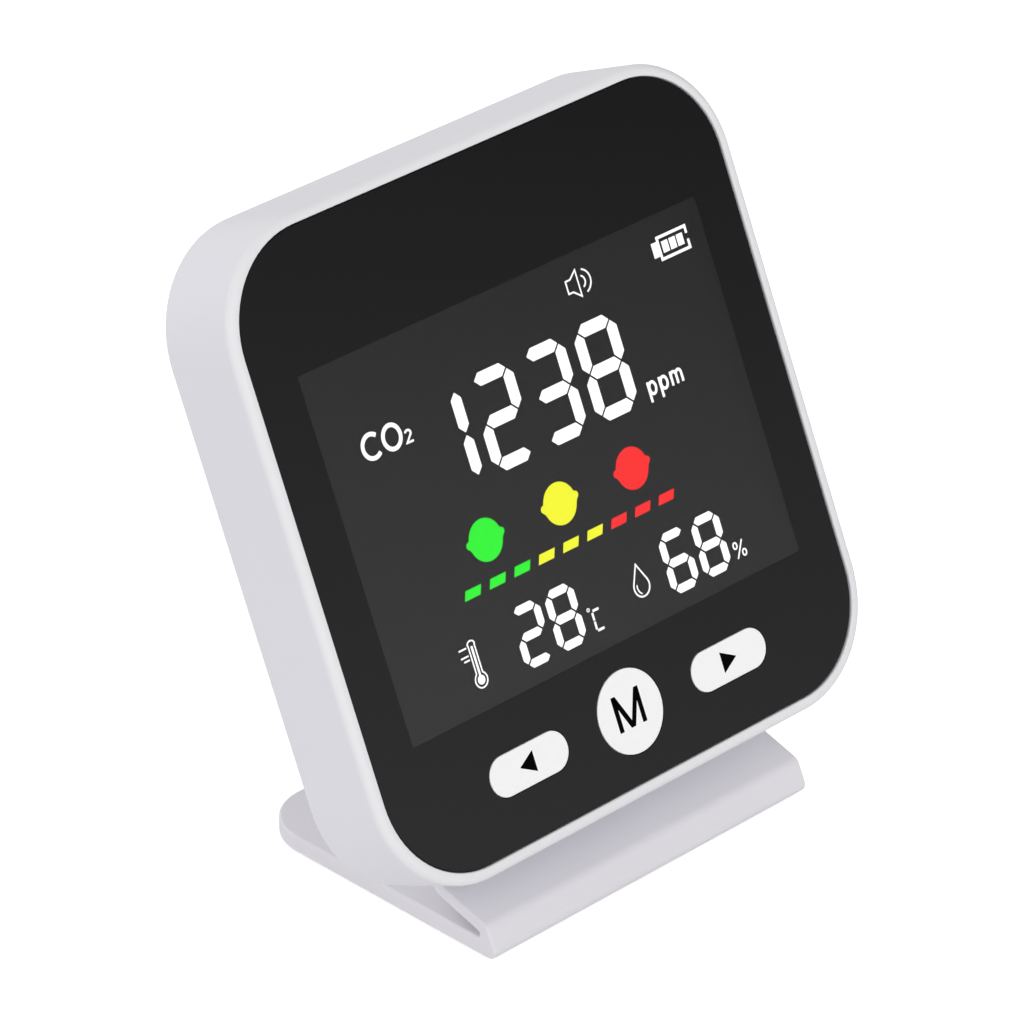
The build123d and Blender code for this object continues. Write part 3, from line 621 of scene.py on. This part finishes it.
def segment(middle_u, middle_v, length, bar, upright):
    """Six-sided bar with pointed ends."""
    half, side = length / 2, bar / 2
    outline = [(-half, 0), (-half + side, -side), (half - side, -side),
               (half, 0), (half - side, side), (-half + side, side)]
    if upright:
        outline = [(-v, u) for u, v in outline]
    return fill([(middle_u + u, middle_v + v) for u, v in outline])


def digits(text, first_u, middle_v, width, height, bar, pitch):
    """Seven-segment numbers; first_u is the middle of the first one."""
    flat = width - bar - 2 * SEGMENT_GAP
    upright = (height - bar) / 2 - 2 * SEGMENT_GAP
    side, high, rise = (width - bar) / 2, (height - bar) / 2, (height - bar) / 4
    where = {"a": (0, high), "g": (0, 0), "d": (0, -high), "b": (side, rise), "c": (side, -rise),
             "f": (-side, rise), "e": (-side, -rise)}
    shapes = []
    for k, character in enumerate(text):
        for name in SEGMENTS_OF[character]:
            u, v = where[name]
            stands = name in "bcef"
            length = upright if stands else flat
            shapes.append(segment(first_u + k * pitch + u, middle_v + v, length, bar, stands))
    return shapes


def shifted(points, u, v):
    """Points moved by (u, v)."""
    return [(a + u, b + v) for a, b in points]


X_HEIGHT = 1.72


def letter_p(u, v, pen):
    """Small p standing on v, its stem at u."""
    return [line([(u, v - 0.75), (u, v + X_HEIGHT)], pen),
            line(ring(u + 0.62, v + X_HEIGHT / 2, 0.52, 0.72), pen, closed=True)]


def letter_m(u, v, pen):
    """Small m standing on v, its left stem at u."""
    shapes = [line([(u, v), (u, v + X_HEIGHT)], pen)]
    half = 0.42
    for left in (u, u + 2 * half):
        hump = arc(left + half, v + 1.1, half, 0.48, 180, 0)
        shapes.append(line([(left, v + 0.9), *hump, (left + 2 * half, v)], pen))
    return shapes


def gas_unit(u, v):
    """The letters ppm, standing on v, the first stem at u."""
    pen = 0.36
    return [*letter_p(u, v, pen), *letter_p(u + 1.92, v, pen), *letter_m(u + 3.82, v, pen)]


def gas_label(u, v):
    """C, O and a small lowered 2; (u, v) is the middle of the O."""
    pen, half_height = 0.52, 1.4
    two = [*arc(u + 2.36, v - 0.39, 0.42, 0.36, 160, -30), (u + 1.9, v - 1.42), (u + 2.88, v - 1.42)]
    return [line(arc(u - 3.12, v, 1.38, half_height, 46, 314), pen),
            line(ring(u, v, 1.3, half_height), pen, closed=True),
            line(two, 0.28)]


def speaker_symbol(u, v):
    """Loudspeaker outline with two sound arcs round (u, v)."""
    pen = 0.2
    back, throat, mouth = u - 2.22, u - 1.47, u - 0.36
    box, horn = 0.76, 1.61
    cone = [(back, v - box), (throat, v - box), (mouth, v - horn),
            (mouth, v + horn), (throat, v + box), (back, v + box)]
    waves = [arc(u, v, wide, high, -68, 68) for wide, high in ((0.74, 0.74), (1.62, 1.5))]
    return [line(cone, pen, closed=True), *[line(wave, pen) for wave in waves]]


def battery_symbol(u, v):
    """Cell outline, open at its right end, with a terminal and three full bars; its left side is at u."""
    right, half = u + 4.71, 1.32
    case = [(right, v + 0.42), (right, v + half), (u, v + half),
            (u, v - half), (right, v - half), (right, v - 0.3)]
    terminal = rectangle(u - 1.12, u - 0.16, v - 0.88, v + 0.94)
    lefts = [u + 0.51 + 1.25 * k for k in range(3)]
    bars = [rectangle(left, left + 1.02, v - 0.68, v + 0.72) for left in lefts]
    return [line(case, 0.36), fill(terminal), *[fill(bar) for bar in bars]]


LAMP_V = -4.23
LAMP_R = 2.55
KNOB_R = 0.48
KNOB_RISE = 0.15


def round_lamp(u):
    """Round status lamp with a small knob on each side."""
    outline = []
    for turn, side in ((0, -1), (180, 1)):
        outline += arc(u, LAMP_V, LAMP_R, LAMP_R, turn + 15, turn + 165)
        outline += arc(u + side * LAMP_R, LAMP_V + KNOB_RISE, KNOB_R, KNOB_R, turn + 110, turn + 250)
    return [fill(outline)]


BAR_ROW_LEFT = -18.67
BAR_PITCH = 3.99
BAR_W = 2.5
BAR_SLANT = 0.5
BAR_LOW = -9.78
BAR_HIGH = -8.67


def status_bars(first):
    """Three slanted bars of the nine under the lamps."""
    lefts = [BAR_ROW_LEFT + BAR_PITCH * (first + k) for k in range(3)]
    return [fill(rectangle(left, left + BAR_W, BAR_LOW, BAR_HIGH, BAR_SLANT)) for left in lefts]


def thermometer_symbol(u, v):
    """Glass tube and bulb, the liquid in them, and three short marks; (u, v) is the bulb's middle."""
    half, neck, top = 0.48, v + 0.87, v + 4.27
    tube = [(u + half, neck), (u + half, top), *arc(u, top, 0.58, 0.5, 0, 180)[1:-1],
            (u - half, top), (u - half, neck), *arc(u, v, 0.93, 0.93, 122, 418)]
    mark_starts = [(u - 2.0, v + 4.16), (u - 2.0, v + 3.21), (u - 1.68, v + 2.72)]
    return [line(tube, 0.18, closed=True),
            line([(u, v + 0.32), (u, v + 4.12)], 0.3),
            fill(ring(u, v, 0.56)),
            *[line([(left, level), (u - 0.82, level)], 0.2) for left, level in mark_starts]]


def drop_symbol(u, v):
    """Water drop outline with an inner highlight; (u, v) is the middle of its round part."""
    drop = [(u, v + 2.7), *arc(u, v, 1.24, 1.24, 28, -208)]
    return [line(drop, 0.2, closed=True), line(arc(u + 0.06, v + 0.05, 0.78, 0.95, 160, 250), 0.16)]


def percent_symbol(u, v):
    """Percent sign, the foot of its stroke at (u, v)."""
    pen = 0.2
    rings = [ring(u + 0.06, v + 1.62, 0.3, 0.38), ring(u + 1.26, v + 0.45, 0.3, 0.38)]
    return [*[line(points, pen, closed=True) for points in rings],
            line([(u + 1.33, v + 2.05), (u, v)], pen)]


def celsius_symbol(u, v):
    """Degree ring and a C made of four bars, its upright bars at u and its lowest bar at v."""
    bars = [((0.14, 2.4), (1.11, 2.4)), ((0.11, 0), (1.14, 0)),
            ((0, 2.22), (0, 1.28)), ((0, 1.12), (0, 0.18))]
    return [line(ring(u - 0.47, v + 2.73, 0.18), 0.12, closed=True),
            *[line(shifted(bar, u, v), 0.3) for bar in bars]]


WHITE_STRENGTH = 2.5
COLOUR_STRENGTH = 2.1
LIT_WHITE = lit("lit_white", (1.0, 1.0, 1.0), WHITE_STRENGTH)
LIT_GREEN = lit("lit_green", (0.005, 0.90, 0.012), COLOUR_STRENGTH)
LIT_YELLOW = lit("lit_yellow", (0.92, 0.94, 0.008), COLOUR_STRENGTH)
LIT_RED = lit("lit_red", (0.97, 0.005, 0.005), COLOUR_STRENGTH)
INK_T = 0.00002
LARGE = {"width": 6.94, "height": 11.94, "bar": 1.6, "pitch": 8.5}
SMALL = {"width": 4.67, "height": 7.5, "bar": 1.05, "pitch": 5.5}
READING = {
    "gas_digits": (digits("1238", -13.94, 8.08, **LARGE), LIT_WHITE),
    "gas_label": (gas_label(-21.76, 11.47), LIT_WHITE),
    "gas_unit": (gas_unit(16.98, 2.6), LIT_WHITE),
    "speaker_symbol": (speaker_symbol(11.66, 18.66), LIT_WHITE),
    "battery_symbol": (battery_symbol(24.76, 18.3), LIT_WHITE),
    "good_lamp": (round_lamp(-13.1), LIT_GREEN),
    "fair_lamp": (round_lamp(-1.0), LIT_YELLOW),
    "poor_lamp": (round_lamp(11.0), LIT_RED),
    "good_bars": (status_bars(0), LIT_GREEN),
    "fair_bars": (status_bars(3), LIT_YELLOW),
    "poor_bars": (status_bars(6), LIT_RED),
    "thermometer_symbol": (thermometer_symbol(-19.7, -18.92), LIT_WHITE),
    "temperature_digits": (digits("28", -10.65, -16.78, **SMALL), LIT_WHITE),
    "celsius_symbol": (celsius_symbol(-1.16, -20.0), LIT_WHITE),
    "drop_symbol": (drop_symbol(7.21, -17.6), LIT_WHITE),
    "humidity_digits": (digits("68", 13.78, -16.8, **SMALL), LIT_WHITE),
    "percent_symbol": (percent_symbol(22.72, -20.0), LIT_WHITE),
}
glass_level = reach("lcd_front_glass", OUT)[1]
for name, (shapes, colour) in READING.items():
    for shape in shapes:
        shape["points"] = shifted(shape["points"], *READING_MIDDLE)
    flat_piece(name, shapes, glass_level + INK_T, INK_T, colour, "monitor")


# ---- marks printed on the keys ----------------------------------------------------------------
def key_middle(node):
    """Middle of a key in mm, from the middle of the front panel."""
    return middle(node, ACROSS) / MM, (middle(node, UP) - FACE_UP) / MM


def mode_mark():
    """Capital M drawn with one pen."""
    half, high, pen = 1.9, 2.2, 0.66
    valley = [(-half + 0.05, high - 0.15), (-0.14, -1.82), (0.14, -1.82), (half - 0.05, high - 0.15)]
    stems = [line([(u, -high), (u, high)], pen) for u in (-half, half)]
    return [*stems, line(valley, pen)]


def arrow_mark(towards):
    """Solid triangle that points left (-1) or right (1)."""
    tip, half = towards * 1.2, 1.3
    return [fill([(tip, 0), (-tip, half), (-tip, -half)])]


# each key's mark, and how far it is printed off the key's middle
KEY_MARKS = {
    "left": (arrow_mark(-1), (-0.32, 0.08)),
    "mode": (mode_mark(), (-0.2, 0.28)),
    "right": (arrow_mark(1), (0.04, 0.06)),
}
for key, (shapes, off_middle) in KEY_MARKS.items():
    node = f"{key}_key"
    for shape in shapes:
        shape["points"] = shifted(shifted(shape["points"], *key_middle(node)), *off_middle)
    # the ink is half sunk in the key's face
    ink_level = reach(node, OUT)[1] - INK_T / 2
    flat_piece(f"{key}_mark", shapes, ink_level, INK_T, FINISHES["key_ink"], node)


# ---- floor, light and camera ------------------------------------------------------------------
VIEW_AZIMUTH = radians(-44.8)
VIEW_ELEVATION = radians(29.4)
VIEW_TARGET = Vector((0.003155, 0.006152, 0.037533))
VIEW_DISTANCE = 0.7568
VIEW_LENS = 225.35
SENSOR_W = 36.0
FAR_CLIP = 20.0
# each lobe of the sky: the direction that it shines from, and its strength
DOME = (((0, -1, 0), 0.84), ((0, 1, 0), 1.41), ((-0.6, -0.6, 0.5), 0.88))
FLOOR_W = 6.0
FLOOR_DROP = 0.00002
FLOOR_GLOW = 0.55


def make_floor():
    """Plain pale floor; its glow is for the camera only, so it doesn't light the object."""
    bpy.ops.mesh.primitive_plane_add(size=FLOOR_W, location=(0, 0, -FLOOR_DROP))
    floor = bpy.context.object
    floor.name = "floor"
    material, tree, surface = new_material("floor_white")
    surface.inputs["Base Color"].default_value = (0.93, 0.93, 0.93, 1)
    surface.inputs["Roughness"].default_value = 0.9
    surface.inputs["Specular IOR Level"].default_value = 0.1
    surface.inputs["Emission Color"].default_value = (1, 1, 1, 1)
    seen = math_node(tree, "MULTIPLY", add_node(tree, "LightPath").outputs["Is Camera Ray"], FLOOR_GLOW)
    tree.links.new(seen, surface.inputs["Emission Strength"])
    floor.data.materials.append(material)


def own_direction(tree):
    """Direction of the sky that a ray meets."""
    return add_node(tree, "TexCoord").outputs["Generated"]


def make_light():
    """Soft white dome, brighter in front, behind and over the camera's shoulder than overhead."""
    world = bpy.data.worlds.new("studio")
    world.use_nodes = True
    tree = world.node_tree
    direction = own_direction(tree)
    glow = None
    for towards, strength in DOME:
        facing = math_node(tree, "MAXIMUM", place_along(tree, direction, towards), 0.0)
        lobe = math_node(tree, "MULTIPLY", facing, strength)
        glow = lobe if glow is None else math_node(tree, "ADD", glow, lobe)
    background = tree.nodes["Background"]
    background.inputs["Color"].default_value = (1.0, 1.0, 1.0, 1)
    tree.links.new(glow, background.inputs["Strength"])
    bpy.context.scene.world = world


def make_camera():
    """Camera in front, to the left and above."""
    back = Vector((sin(VIEW_AZIMUTH) * cos(VIEW_ELEVATION), -cos(VIEW_AZIMUTH) * cos(VIEW_ELEVATION),
                   sin(VIEW_ELEVATION)))
    right = Vector((cos(VIEW_AZIMUTH), sin(VIEW_AZIMUTH), 0))
    up = back.cross(right)
    data = bpy.data.cameras.new("camera")
    data.lens = VIEW_LENS
    data.sensor_width = SENSOR_W
    data.clip_end = FAR_CLIP
    camera = bpy.data.objects.new("camera", data)
    turn = Matrix((right, up, back)).transposed().to_4x4()
    camera.matrix_world = Matrix.Translation(VIEW_TARGET + back * VIEW_DISTANCE) @ turn
    bpy.context.scene.collection.objects.link(camera)
    bpy.context.scene.camera = camera


make_floor()
make_light()
make_camera()
bpy.context.scene.view_settings.view_transform = "Standard"
